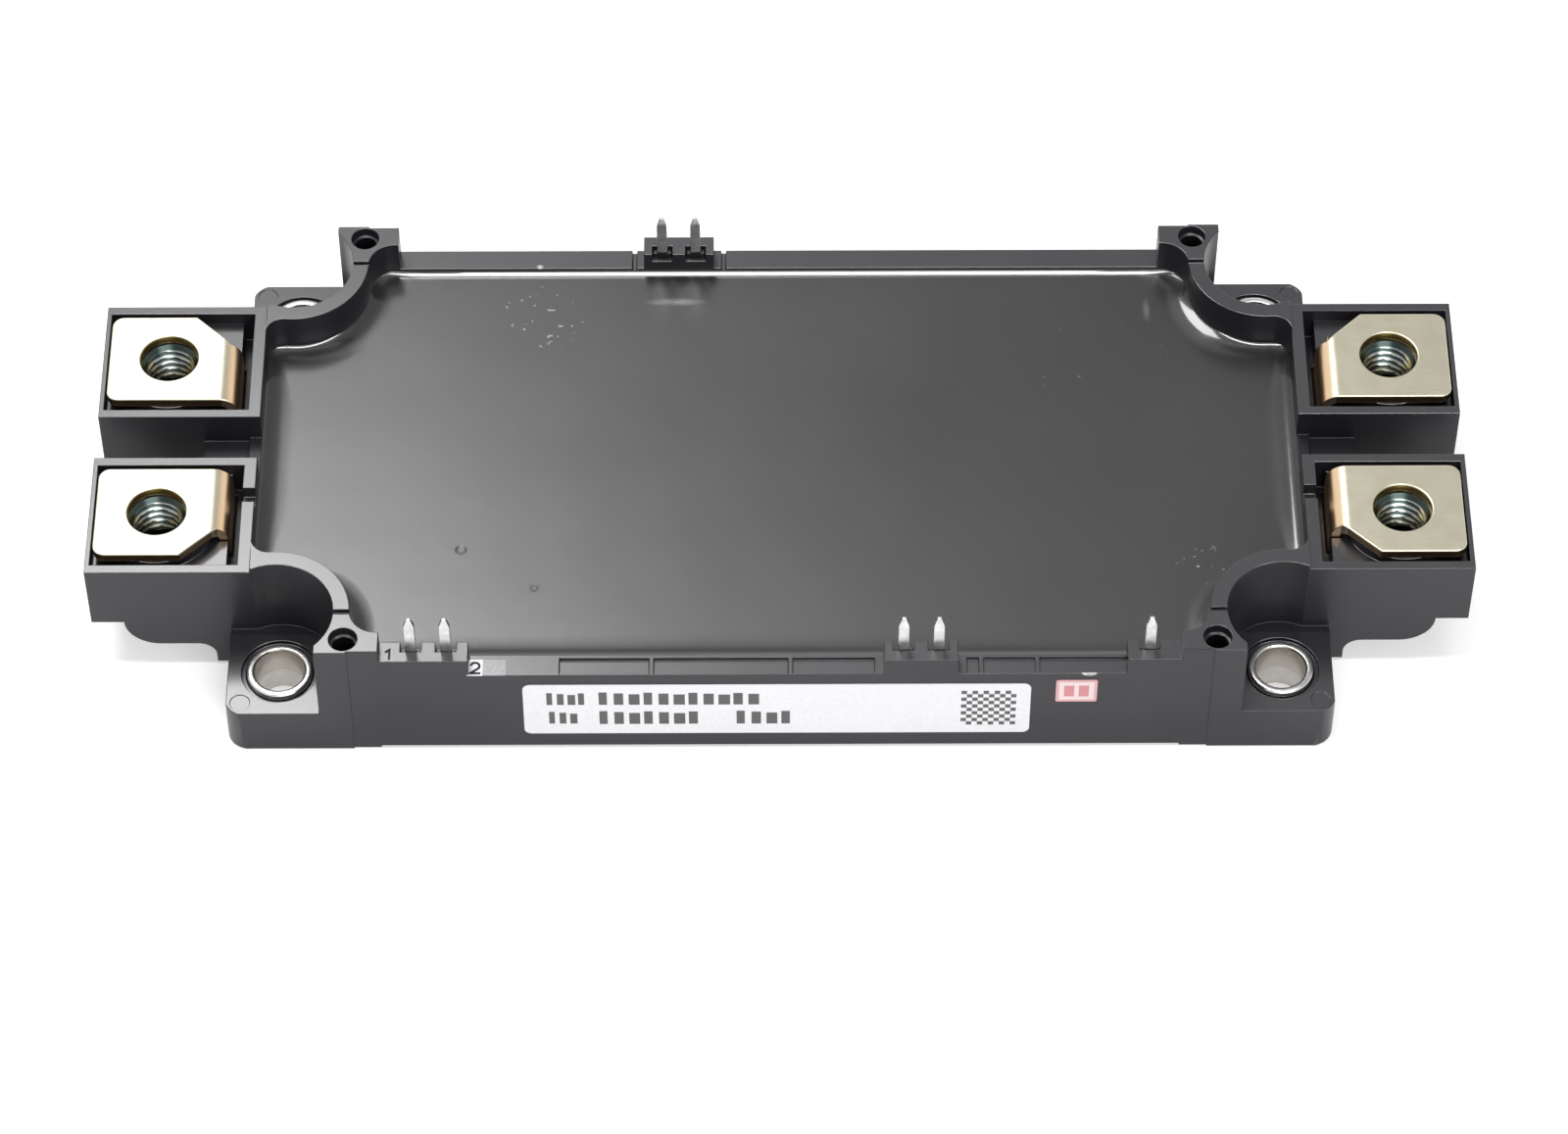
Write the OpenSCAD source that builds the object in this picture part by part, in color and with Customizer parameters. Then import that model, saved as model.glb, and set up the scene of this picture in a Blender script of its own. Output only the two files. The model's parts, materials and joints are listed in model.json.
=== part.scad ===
// Dual power module: moulded case frame, copper base plate, bent main terminals
// with captive nuts, mounting collars, signal pins, chips, bond wires and potting.
// Millimetres. Origin at the centre of the underside of the base plate, +Z up,
// X along the module, -Y towards the label side.

/* [Overall] */
// Length of the case body
body_l = 121.7; // [118:0.1:130]
// Depth of the case body at its foot
body_d = 62; // [60:0.1:68]
// How far the terminal blocks reach beyond the body
block_out = 15.15; // [15:0.05:16]
// Height of the corner towers
tower_z = 17; // [16.8:0.1:19]
// Height of the front and back walls
ledge_z = 12.8; // [12.4:0.1:14]
// Height of the terminal block rims and end walls
rim_z = 16.4; // [16.2:0.1:16.7]
// How far each outer face leans in between its foot and the tower tops
draft = 0.4; // [0.1:0.05:0.6]
// Radius of the vertical corners of the body
corner_r = 2.4; // [1:0.1:3]

// How far the corner columns stand proud of the long faces
face_step = 0.15; // [0.05:0.05:0.3]
// Inner edge of the corner columns, measured from the board screw holes
column_in = 0.4; // [0.2:0.1:1]
// Radius of the ejector marks on the pocket floors
mark_r = 1.1; // [0.8:0.1:1.2]
// Depth of the ejector marks
mark_h = 0.1; // [0.05:0.05:0.2]
// Distance of the ejector marks from the faces of the body
mark_in = 1.7; // [1.5:0.1:2]

/* [Cavity] */
// From the ends of the body to the resin cavity
end_t = 2.95; // [2.6:0.05:3.2]
// From the long faces of the body to the resin cavity
side_t = 3.2; // [2.9:0.05:3.4]
// Fillet between a pocket web and the long walls
web_fillet = 3; // [2:0.1:3.6]
// Fillet between a pocket web and the end walls
end_fillet = 2; // [1:0.1:2.5]
// Thickness of the end walls beside the cavity
end_wall = 1.4; // [1.1:0.1:1.6]
// Width of the notches in the front half of the end walls
vent_w = 1.9; // [1:0.1:3]
// Depth of those notches
vent_h = 1.6; // [0.5:0.1:2.5]
// Distance of those notches from the middle of the module
vent_y = 8.2; // [6:0.1:12]

/* [Mounting] */
// From the ends of the body to the mounting holes
mount_end = 5.85; // [5.6:0.05:6]
// From the long faces of the body to the mounting holes
mount_side = 6; // [5.8:0.1:6.2]
// Bore of the mounting collars and of the base plate holes
mount_bore = 5.5; // [5:0.1:6]
// Wall of a mounting collar
collar_wall = 0.85; // [0.6:0.05:1.1]
// Height of the collar tops
collar_z = 6.6; // [6.4:0.1:7.4]
// Clearance around a collar in the case
collar_gap = 0.1; // [0.05:0.01:0.2]
// Radius of the round screw pocket in each corner
pocket_r = 6.5; // [6.2:0.1:6.8]
// Height of the pocket floors
pocket_floor_z = 6.3; // [5.8:0.1:6.4]
// Wall between a pocket and the cavity
pocket_wall = 1.8; // [1.5:0.1:2]
// Width of the ring recess around a collar
ring_recess_w = 0.5; // [0.3:0.05:0.8]
// Depth of the ring recess around a collar
ring_recess_h = 0.5; // [0.2:0.1:1]

/* [Towers] */
// From the mounting holes in to the board screw holes, along the module
board_in = 7.75; // [7.6:0.05:7.9]
// From the long faces of the body to the board screw holes and the pins
board_side = 2.25; // [2.1:0.05:2.4]
// Pilot bore of the board screw holes
pilot_d = 2.5; // [2.2:0.1:2.6]
// Wider lead-in bore at the top of the board screw holes
lead_in_d = 3.1; // [2.8:0.1:3.3]
// Depth of the lead-in bore
lead_in_h = 1.2; // [0.5:0.1:2]
// Depth of the board screw holes
board_hole_h = 10; // [6:0.5:12]
// Tower width on the cavity side of its hole
tower_in = 3.8; // [3.4:0.1:4]
// Tower width on the pocket side of its hole
tower_out = 3.15; // [2.8:0.05:3.3]
// Width of the hairline notch across each pocket web
web_notch = 0.6; // [0.3:0.1:1]

/* [Terminal blocks] */
// From the ends of the body to the terminal holes
term_out = 7.65; // [7.5:0.05:8]
// From the mounting holes in to the side of a terminal block
block_in = 5.9; // [5.7:0.1:6.1]
// Width of one terminal block
block_w = 16.2; // [15.6:0.1:16.4]
// Height of the outer underside of a block
block_z = 7.5; // [7:0.1:7.8]
// Height of the belly under a block
belly_z = 3.6; // [3.2:0.1:4.2]
// Radius of the belly's outer corner
belly_r = 3.8; // [2.5:0.1:4.2]
// Length of the outer underside, measured in from the block's end
block_foot = 3.6; // [2.5:0.1:4]
// Length of the heel under the blocks, beyond the body side
heel_l = 1.75; // [1:0.05:2.5]
// Fillet between the heel and the belly
heel_r = 1.9; // [1:0.1:2.5]
// Height of the foot of the heel
heel_z = 0.4; // [0.3:0.05:1]
// Width of the lips along the sides of a block
block_lip = 1.1; // [0.8:0.1:1.3]
// Width of the lip at the end of a block
end_lip = 0.55; // [0.4:0.05:0.6]
// Height of the seat inside a block
seat_z = 14.7; // [14.4:0.1:15]
// Height of the floor of the recess in front of a leg
throat_z = 12; // [11:0.1:13]
// Radius of the boss around the nut under a terminal
boss_r = 6.3; // [6.1:0.1:6.4]
// Depth of the web between two blocks, beyond the body side
bridge_l = 3.6; // [2:0.1:5]
// Height of the web between two blocks
bridge_z = 12.2; // [9:0.1:12.4]

/* [Main terminals] */
// Height of the terminal faces
term_z = 17; // [16.9:0.1:17.6]
// Thickness of the terminal strip
term_t = 1.2; // [1:0.05:1.4]
// Width of the terminal face
term_w = 12.1; // [11.6:0.1:12.4]
// Width of the leg that goes down into the case
leg_w = 8.3; // [7:0.1:8.6]
// Clearance hole for the terminal screw
term_hole = 6.5; // [6.2:0.1:6.8]
// From the hole to the outer end of the face
term_end = 6.7; // [6.4:0.1:6.75]
// Length of the corner cut along the strip
cut_x = 4; // [3:0.1:5]
// Radius of the outer corners of the face
term_r = 1.3; // [0.8:0.1:2]
// Outer radius of the bends
bend_r = 2.2; // [1.9:0.1:2.4]
// Gap between the end wall and the leg
leg_gap = 1.2; // [0.9:0.1:1.4]
// Clearance around the leg in the case
leg_fit = 0.15; // [0.05:0.05:0.25]
// Height of the run that goes under the end wall
run_z = 5.2; // [4.9:0.1:5.6]
// From the cavity's end wall in to the end of the solder foot
foot_in = 6.4; // [5.4:0.1:7.4]
// Length of the solder foot
foot_l = 3.4; // [2.5:0.1:4]

/* [Nuts] */
// Width across the flats of the nuts
nut_af = 10; // [9.6:0.1:10]
// Height of a nut
nut_h = 5.7; // [4:0.1:5.8]
// Bore of a nut, at the crests of its M6 thread
nut_bore = 5; // [4.9:0.05:5.2]
// Clearance between a nut and its pocket
nut_gap = 0.1; // [0.05:0.01:0.15]
// Clearance between a nut and the terminal above it
nut_drop = 0.2; // [0.1:0.05:0.4]
// Bore below the nut for the end of the screw
screw_well_d = 7; // [6.4:0.1:7.6]
// Depth of that bore below the nut
screw_well_h = 3.1; // [2:0.1:4.2]

/* [Signal pins] */
// Grid pitch of the pins
pitch = 3.81; // [3.78:0.01:3.83]
// Height of the pin tips
pin_z = 20.5; // [19.5:0.1:22]
// Width of a pin
pin_w = 1.15; // [0.9:0.05:1.3]
// Thickness of a pin
pin_t = 0.65; // [0.5:0.05:0.8]
// Length of the tapered tip
pin_taper = 1.1; // [0.6:0.1:1.6]
// Width left at the very tip
pin_tip_w = 0.45; // [0.3:0.05:0.6]
// Width of the shoulder
shoulder_w = 2.1; // [1.6:0.1:2.3]
// Height of the top of the shoulder
shoulder_z = 14.7; // [14.4:0.1:14.9]
// Height of the shoulder
shoulder_h = 0.7; // [0.5:0.1:1]
// Height of the pedestals that carry the pins
pedestal_z = 15.2; // [15:0.1:16]
// Pedestal beyond its outer pins
pedestal_end = 2.1; // [1.6:0.1:2.2]
// Extra length of the pedestals at the front corners
corner_pad = 0.3; // [0.1:0.1:0.6]
// Clearance around a pin in the case
pin_fit = 0.05; // [0.02:0.01:0.1]
// Depth of the shelf that carries the pins' bond pads
shelf_d = 2; // [1.6:0.1:2.2]
// Height of that shelf
shelf_z = 6.5; // [5.5:0.1:7.5]
// Length of a pin's bond pad
pad_l = 1.8; // [1.2:0.1:1.9]

/* [Front ledge] */
// Depth of the channels in the front ledge
channel_h = 0.4; // [0.3:0.1:1.2]
// Width of the channels
channel_w = 2.1; // [1.6:0.1:2.3]
// Thickness of the ribs across the channels
rib_t = 0.5; // [0.3:0.1:0.8]
// Length of plain ledge between the left pedestal and the first channel
channel_lead = 9.8; // [8:0.1:11]
// Gap between the middle pedestal and the channels
channel_gap = 1; // [0.6:0.1:2]
// Width of the hairline slots beside the back pedestal
back_slot_w = 0.5; // [0.3:0.1:0.8]
// Distance of those slots from the back pedestal
back_slot_gap = 1.1; // [0.8:0.1:2]

/* [Base] */
// Thickness of the base plate
base_t = 3; // [2.5:0.1:3.2]
// Thickness of the skirt around the base plate
skirt = 1.2; // [0.9:0.1:1.5]
// Gap between the base plate and the skirt
base_gap = 0.15; // [0.05:0.05:0.3]
// Gap below the skirt at the corners
skirt_gap = 0.1; // [0.05:0.05:0.2]
// Gap below the skirt between the corners
relief_gap = 0.4; // [0.25:0.05:0.6]
// Length of the plain skirt at each corner
skirt_foot = 17; // [12:0.5:22]

/* [Circuit] */
// Thickness of the insulation sheet
sheet_t = 0.2; // [0.1:0.05:0.3]
// Gap between the sheet and the cavity walls
sheet_gap = 0.6; // [0.3:0.1:1]
// Bare rim of the sheet along the tracks and round the corners
sheet_rim = 0.2; // [0.1:0.05:0.3]
// Bare rim of the sheet at the ends of the module
sheet_end = 2.3; // [2:0.1:2.5]
// Thickness of the copper circuit
copper_t = 0.5; // [0.3:0.05:0.7]
// Side of an IGBT chip
igbt_side = 11; // [10:0.1:11.2]
// Length of a diode chip along the module
diode_l = 10; // [8:0.1:11]
// Depth of a diode chip across the module
diode_d = 6; // [5:0.1:6]
// Thickness of the chips
chip_t = 0.25; // [0.15:0.05:0.3]
// Gap between neighbouring chips
chip_gap = 2; // [1.2:0.1:2.2]
// Copper between the middle of the module and the first chips
chip_in = 2.4; // [2:0.1:2.5]
// Diameter of the power bond wires, drawn square
wire_d = 0.4; // [0.3:0.05:0.5]
// Diameter of the gate bond wires, drawn square
gate_wire_d = 0.25; // [0.15:0.05:0.3]
// Width of the gate and sense tracks
track_w = 0.8; // [0.6:0.1:0.9]
// Gap between neighbouring copper islands
island_gap = 1.2; // [0.8:0.1:1.4]
// Margin of copper around the chips
copper_rim = 0.4; // [0.2:0.1:0.5]
// Height of the power bond wires above the chips
wire_rise = 2.2; // [1.4:0.1:3]
// Height of the gate bond wires above the chips
gate_rise = 0.9; // [0.6:0.1:1.4]
// Rise of the wires from the pin pads to the tracks
pin_wire_rise = 1.5; // [1.4:0.1:1.8]
// Spacing of the power bond wires on a chip
wire_pitch = 1.8; // [1.2:0.1:1.9]
// Number of power bond wires on a chip
wire_count = 4; // [2:1:4]
// Depth of the copper bars behind the diodes
bar_w = 6.6; // [5.6:0.1:7]
// Width of the copper link between the bars
link_w = 3.4; // [2.8:0.1:3.6]
// Width of the bond pads for the single pins
pad_w = 2.8; // [2:0.1:3.2]
// Length of the thermistor
thermistor_l = 3.2; // [2.5:0.1:3.5]
// Depth of the thermistor
thermistor_d = 1.6; // [1.2:0.1:2]
// Height of the thermistor
thermistor_h = 0.8; // [0.5:0.1:1]

/* [Potting] */
// Height of the resin in the middle of the cavity
resin_z = 12; // [11.4:0.1:12.3]

/* [Label] */
// Length of the label
label_l = 55.3; // [40:0.1:60]
// Height of the label
label_h = 8.5; // [6:0.1:9]
// Thickness of the label and the sticker
label_t = 0.1; // [0.05:0.01:0.2]
// Height of the middle of the label
label_z = 6.9; // [5:0.1:7.5]
// Offset of the label from the middle of the module
label_x = -0.4; // [-3:0.1:3]
// Radius of the label's corners
label_r = 0.8; // [0.3:0.1:2]
// Side of the small sticker
sticker_h = 3.7; // [2:0.1:5]
// Length of the small sticker
sticker_l = 4.5; // [2:0.1:6]
// Gap between the label and the sticker
sticker_gap = 2.7; // [1:0.1:5]
// How far the sticker reaches above the label
sticker_up = 0.6; // [0:0.1:1]

/* [Hidden] */
$fn = 64;
over = 1;
chip_count = 3;
body_x = body_l / 2;
body_y = body_d / 2;
cavity_x = body_x - end_t;
cavity_y = body_y - side_t;
mount = [body_x - mount_end, body_y - mount_side];
web_r = pocket_r + pocket_wall;
collar_r = mount_bore / 2 + collar_wall;
board = [mount.x - board_in, body_y - board_side];
pin_y = board.y;
tower_x0 = board.x - tower_in;
tower_x1 = board.x + tower_out;
block_y1 = mount.y - block_in;
block_y0 = block_y1 - block_w;
term = [body_x + term_out, (block_y0 + block_y1) / 2];
block_x1 = body_x + block_out;
belly_x = block_x1 - block_foot;
heel_x = body_x + heel_l;
wall_x = cavity_x + end_wall;

// Terminal strip: foot, leg face, bend centres and plan outline
foot_x = cavity_x - foot_in;
leg_x = wall_x + leg_gap;
bend_x = leg_x + bend_r;
bend_in = bend_r - term_t;
leg_y0 = term.y - term_w / 2;
leg_y1 = leg_y0 + leg_w;
face_y1 = leg_y0 + term_w;
strip_x1 = term.x + term_end;
term_under = term_z - term_t;
nut_top = term_under - nut_drop;

// Circuit: heights, then rows from the front edge of the sheet to the back
circuit_z = base_t + sheet_t;
chip_bed_z = circuit_z + copper_t;
chip_top_z = chip_bed_z + chip_t;
sheet_y = cavity_y - shelf_d - sheet_gap;
sense_y0 = -sheet_y + sheet_rim;
gate_y0 = sense_y0 + track_w + copper_rim;
front_y0 = gate_y0 + track_w + island_gap;
igbt_y = front_y0 + copper_rim + igbt_side / 2;
diode_y = igbt_y + igbt_side / 2 + 2 * copper_rim + diode_d / 2;
front_y1 = diode_y + diode_d / 2 + 2 * copper_rim;
bar_y0 = front_y1 + island_gap;
bar_y1 = bar_y0 + bar_w;
back_y0 = bar_y1 + island_gap;
web_clear = web_r + sheet_gap + sheet_rim;
back_y1 = mount.y - web_clear;
island_x = cavity_x - sheet_gap - sheet_end;
web_x = mount.x - web_clear;
mid_x = island_gap / 2;
bay_x = mid_x + link_w + island_gap;
chip_x0 = mid_x + chip_in + igbt_side / 2;
chip_pitch = igbt_side + chip_gap;
thermistor_y = (back_y1 + sheet_y) / 2;

// Signal pins: grid positions along the module
front_pins = [-10.5, -9.5, 3.5, 4.5, 10.5];
back_pins = [-3.5, -2.5];
slot_floor = shoulder_z - shoulder_h;

// Pin pedestals, from end to end
front_pedestals = [
    [-tower_x0 - over, front_pins[1] * pitch + pedestal_end + corner_pad],
    [front_pins[2] * pitch - pedestal_end, front_pins[3] * pitch + pedestal_end],
    [front_pins[4] * pitch - pedestal_end - corner_pad, tower_x0 + over]
];
back_pedestal = [back_pins[0] * pitch - pedestal_end, back_pins[1] * pitch + pedestal_end];

// Ribs across the channels of the front ledge
left_ribs = [-14, 1.1];
right_ribs = [21.8, 27.9];

plastic = [0.22, 0.22, 0.24];
copper = [0.72, 0.45, 0.3];
nickel = [0.78, 0.75, 0.68];
tin = [0.86, 0.86, 0.85];
steel = [0.75, 0.76, 0.77];
zinc = [0.68, 0.73, 0.75];

// Half depth of the drafted long faces at height z
function face_y(z) = body_y - draft * z / tower_z;

// Corner i from 0 to 3: front left, back left, front right, back right
module to_corner(i)
    mirror([i < 2 ? 1 : 0, 0, 0])
        mirror([0, i % 2 == 0 ? 1 : 0, 0])
            children();

module all_corners()
    for (i = [0:3]) to_corner(i) children();

// Box between two opposite corners
module box(a, b)
    translate(a) cube(b - a);

module rounded_rect(l, d, r) {
    square([l - 2 * r, d], center = true);
    square([l, d - 2 * r], center = true);
    for (x = [-1, 1], y = [-1, 1])
        translate([x * (l / 2 - r), y * (d / 2 - r)]) circle(r);
}

// Outline in X and Z, drawn out along Y from y0 to y1
module across(y0, y1)
    translate([0, y1, 0]) rotate([90, 0, 0]) linear_extrude(y1 - y0) children();

// Outline in Y and Z, drawn out along X from x0 to x1
module along(x0, x1)
    translate([x0, 0, 0]) rotate([90, 0, 90]) linear_extrude(x1 - x0) children();

// ---- Case frame -------------------------------------------------------------

// Rounded body with four drafted faces
module body_blank() {
    top_x = body_x - draft;
    intersection() {
        linear_extrude(tower_z) rounded_rect(body_l, body_d, corner_r);
        across(-body_d, body_d)
            polygon([[-body_x, 0], [body_x, 0], [top_x, tower_z], [-top_x, tower_z]]);
        along(-body_l, body_l)
            polygon([[-face_y(0), 0], [face_y(0), 0],
                     [face_y(tower_z), tower_z], [-face_y(tower_z), tower_z]]);
    }
}

// Web round one pocket, filleted into the long wall and into the end wall
module web_outline() {
    long_c = [mount.x - sqrt(pow(web_r + web_fillet, 2) - pow(cavity_y - web_fillet - mount.y, 2)),
              cavity_y - web_fillet];
    end_c = [cavity_x - end_fillet,
             mount.y - sqrt(pow(web_r + end_fillet, 2) - pow(cavity_x - end_fillet - mount.x, 2))];
    translate(mount) circle(web_r);
    difference() {
        polygon([long_c, [long_c.x, cavity_y + over], [mount.x, cavity_y + over], mount]);
        translate(long_c) circle(web_fillet);
    }
    difference() {
        polygon([end_c, mount, [cavity_x + over, mount.y], [cavity_x + over, end_c.y]]);
        translate(end_c) circle(end_fillet);
    }
}

module cavity_outline()
    difference() {
        square([2 * cavity_x, 2 * cavity_y], center = true);
        all_corners() web_outline();
    }

// Screw pocket of one corner, open to the long side and to the end
module pocket_outline() {
    translate(mount) circle(pocket_r);
    translate([tower_x1, mount.y]) square([body_l, body_d]);
    translate([mount.x, block_y1]) square([body_l, body_d]);
}

// Side view of a terminal block with its rounded belly and filleted heel
module block_outline() {
    belly_cz = belly_z + belly_r;
    translate([cavity_x, block_z]) square([block_x1 - cavity_x, rim_z - block_z]);
    translate([cavity_x, belly_cz]) square([belly_x - cavity_x, block_z - belly_z]);
    translate([cavity_x, belly_z]) square([belly_x - belly_r - cavity_x, 2 * belly_r]);
    translate([belly_x - belly_r, belly_cz]) circle(belly_r);
    translate([cavity_x, heel_z]) square([heel_x - cavity_x, block_z - heel_z]);
    difference() {
        translate([heel_x, belly_z - heel_r]) square(heel_r);
        translate([heel_x + heel_r, belly_z - heel_r]) circle(heel_r);
    }
}

// Everything cut from one terminal block: seat, nut pocket, screw well and leg slot
module block_cuts() {
    slot_y0 = leg_y0 - leg_fit;
    slot_y1 = leg_y1 + leg_fit;
    leg_back = leg_x + term_t + leg_fit;
    difference() {
        box([wall_x, block_y0 + block_lip, seat_z],
            [block_x1 - end_lip, block_y1 - block_lip, rim_z + over]);
        intersection() {
            translate([term.x, term.y, 0]) cylinder(r = boss_r, h = term_under);
            box([bend_x, block_y0, 0], [block_x1, block_y1, tower_z]);
        }
    }
    translate([term.x, term.y, nut_top - nut_h])
        cylinder(d = (nut_af + 2 * nut_gap) / cos(30), h = tower_z, $fn = 6);
    translate([term.x, term.y, nut_top - nut_h - screw_well_h])
        cylinder(d = screw_well_d, h = tower_z);
    box([leg_x - leg_fit, slot_y0, run_z - leg_fit], [leg_back, slot_y1, seat_z + over]);
    box([wall_x, block_y0 + block_lip, throat_z], [leg_x + leg_fit, block_y1 - block_lip, seat_z + over]);
    box([cavity_x - over, slot_y0, run_z - leg_fit], [leg_x, slot_y1, run_z + term_t + leg_fit]);
    box([leg_x - bend_in, slot_y0, run_z], [leg_x, slot_y1, run_z + bend_r]);
}

// Clears the tops of the long walls down to the ledge, but for the pin pedestals
module ledge_cut(pedestals)
    difference() {
        box([-tower_x0, cavity_y - over, ledge_z], [tower_x0, body_d, tower_z + over]);
        for (p = pedestals)
            box([p[0], 0, 0], [p[1], body_d + over, pedestal_z]);
    }

// Slots that one pin, its shoulder and its bond pad sit in
module pin_cuts(x) {
    blade = pin_w / 2 + pin_fit;
    y0 = pin_y - pin_t / 2 - pin_fit;
    y1 = pin_y + pin_t / 2 + pin_fit;
    shoulder = shoulder_w / 2 + 2 * pin_fit;
    box([x - blade, y0, shelf_z], [x + blade, y1, tower_z + over]);
    box([x - shoulder, cavity_y - over, slot_floor], [x + shoulder, y1, tower_z + over]);
    box([x - shoulder, cavity_y - over, shelf_z], [x + shoulder, y1, shelf_z + pin_t + pin_fit]);
}

// One channel in the front ledge, crossed by ribs
module channel(x0, x1, ribs)
    difference() {
        box([x0, -pin_y - channel_w + rib_t, ledge_z - channel_h], [x1, -pin_y + rib_t, ledge_z + over]);
        for (x = ribs)
            box([x - rib_t / 2, -body_d, 0], [x + rib_t / 2, 0, ledge_z]);
    }

module case_frame() {
    skirt_x = body_x - skirt_foot;
    skirt_y = body_y - skirt_foot;
    color(plastic) difference() {
        union() {
            body_blank();
            all_corners() across(block_y0, block_y1) block_outline();
            for (s = [0, 1]) mirror([s, 0, 0])
                box([cavity_x, -block_y0, belly_z], [body_x + bridge_l, block_y0, bridge_z]);
        }

        // Cavity, leaving a low shelf along each long wall for the bond pads
        difference() {
            translate([0, 0, base_t]) linear_extrude(tower_z) cavity_outline();
            for (s = [0, 1]) mirror([0, s, 0])
                box([-tower_x0, cavity_y - shelf_d, 0], [tower_x0, cavity_y, shelf_z]);
        }

        // Wall tops: ledges, end walls and the gap between the blocks
        mirror([0, 1, 0]) ledge_cut(front_pedestals);
        ledge_cut([back_pedestal]);
        for (s = [0, 1]) mirror([s, 0, 0]) {
            box([cavity_x, -block_y1, rim_z], [block_x1, block_y1, tower_z + over]);
            box([cavity_x - over, -block_y0, ledge_z], [block_x1, block_y0, tower_z + over]);
            box([wall_x, -block_y0, bridge_z], [block_x1, block_y0, tower_z + over]);
            box([cavity_x - over, -vent_y - vent_w / 2, rim_z - vent_h],
                [wall_x + over, -vent_y + vent_w / 2, tower_z + over]);
        }

        // Corner pockets, collar seats, board screw holes and terminal seats
        all_corners() {
            translate([0, 0, pocket_floor_z]) linear_extrude(tower_z) pocket_outline();
            translate([mount.x, mount.y, 0]) cylinder(r = collar_r + collar_gap, h = tower_z);
            translate([mount.x, mount.y, pocket_floor_z - ring_recess_h])
                cylinder(r = collar_r + collar_gap + ring_recess_w, h = tower_z);
            translate([body_x - mark_in, body_y - mark_in, pocket_floor_z - mark_h])
                cylinder(r = mark_r, h = over);
            translate([board.x, board.y, tower_z - board_hole_h]) cylinder(d = pilot_d, h = tower_z);
            translate([board.x, board.y, tower_z - lead_in_h]) cylinder(d = lead_in_d, h = tower_z);
            box([mount.x - web_r - over, mount.y - web_notch / 2, tower_z - web_notch],
                [mount.x, mount.y + web_notch / 2, tower_z + over]);
            block_cuts();
        }

        // Signal pins
        for (p = front_pins) mirror([0, 1, 0]) pin_cuts(p * pitch);
        for (p = back_pins) pin_cuts(p * pitch);

        // Long faces step back between the corner columns
        for (s = [0, 1]) mirror([0, s, 0])
            along(-board.x + column_in, board.x - column_in)
                polygon([[face_y(-over) - face_step, -over], [body_d, -over],
                         [body_d, tower_z + over], [face_y(tower_z + over) - face_step, tower_z + over]]);

        // Channels in the front ledge and hairline slots beside the back pedestal
        channel(front_pedestals[0][1] + channel_lead, front_pedestals[1][0] - channel_gap, left_ribs);
        channel(front_pedestals[1][1] + channel_gap, front_pedestals[2][0] + rib_t, right_ribs);
        for (x = [back_pedestal[0] - back_slot_gap, back_pedestal[1] + back_slot_gap])
            box([x - back_slot_w / 2, cavity_y - over, ledge_z - back_slot_w],
                [x + back_slot_w / 2, body_d, tower_z]);

        // Underside: base plate recess, skirt feet and relief
        translate([0, 0, -over]) linear_extrude(base_t + over)
            rounded_rect(body_l - 2 * skirt, body_d - 2 * skirt, corner_r - skirt / 2);
        box([-block_x1, -body_d, -over], [block_x1, body_d, skirt_gap]);
        box([-skirt_x, -body_d, -over], [skirt_x, body_d, relief_gap]);
        box([-block_x1, -skirt_y, -over], [block_x1, skirt_y, relief_gap]);
    }
}

// ---- Base, collars, terminals, nuts and pins --------------------------------

module base_plate()
    color(nickel) difference() {
        linear_extrude(base_t)
            rounded_rect(body_l - 2 * (skirt + base_gap), body_d - 2 * (skirt + base_gap),
                         corner_r - skirt / 2);
        all_corners() translate([mount.x, mount.y, -over])
            cylinder(d = mount_bore, h = base_t + 2 * over);
    }

module collar()
    color(steel) translate([mount.x, mount.y, base_t]) difference() {
        cylinder(r = collar_r, h = collar_z - base_t);
        translate([0, 0, -over]) cylinder(d = mount_bore, h = collar_z);
    }

// Upper bend of the strip with part of its leg and face, seen from its edge
module strip_bend(x1) {
    leg_end = (term_z + run_z) / 2 - over;
    difference() {
        union() {
            translate([leg_x, leg_end]) square([x1 - leg_x, term_z - bend_r - leg_end]);
            translate([bend_x, leg_end]) square([x1 - bend_x, term_z - leg_end]);
            translate([bend_x, term_z - bend_r]) circle(bend_r);
        }
        translate([leg_x + term_t, 0]) square([x1, term_z - bend_r]);
        translate([bend_x, 0]) square([x1, term_under]);
        translate([bend_x, term_z - bend_r]) circle(bend_in);
    }
}

// Bent strip seen from its edge: face, bend, leg, bend, run under the wall, step, foot
module strip_outline() {
    foot_x1 = foot_x + foot_l;
    step_x = foot_x1 + run_z - chip_bed_z;
    run_x = leg_x - bend_in - over;
    middle = [leg_x + term_t / 2, (term_z + run_z) / 2];
    strip_bend(strip_x1);
    translate(middle) rotate(180) translate(-middle)
        strip_bend(2 * middle.x - run_x);
    polygon([[foot_x, chip_bed_z], [foot_x1, chip_bed_z], [step_x, run_z], [leg_x - bend_in, run_z],
             [leg_x - bend_in, run_z + term_t], [step_x, run_z + term_t],
             [foot_x1, chip_bed_z + term_t], [foot_x, chip_bed_z + term_t]]);
}

// The punched blank seen from above, with its corner cut and rounded outer corners
module blank_outline() {
    cut_x0 = leg_x + term_t;
    round_x = strip_x1 - term_r;
    difference() {
        polygon([[foot_x - over, leg_y0], [strip_x1, leg_y0], [strip_x1, face_y1],
                 [cut_x0 + cut_x, face_y1], [cut_x0, leg_y1], [foot_x - over, leg_y1]]);
        difference() {
            translate([round_x, leg_y0 - over]) square([term_r + over, term_w + 2 * over]);
            translate([round_x - over, leg_y0 + term_r]) square([term_r + over, term_w - 2 * term_r]);
            for (y = [leg_y0 + term_r, face_y1 - term_r])
                translate([round_x, y]) circle(term_r);
        }
    }
}

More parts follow.
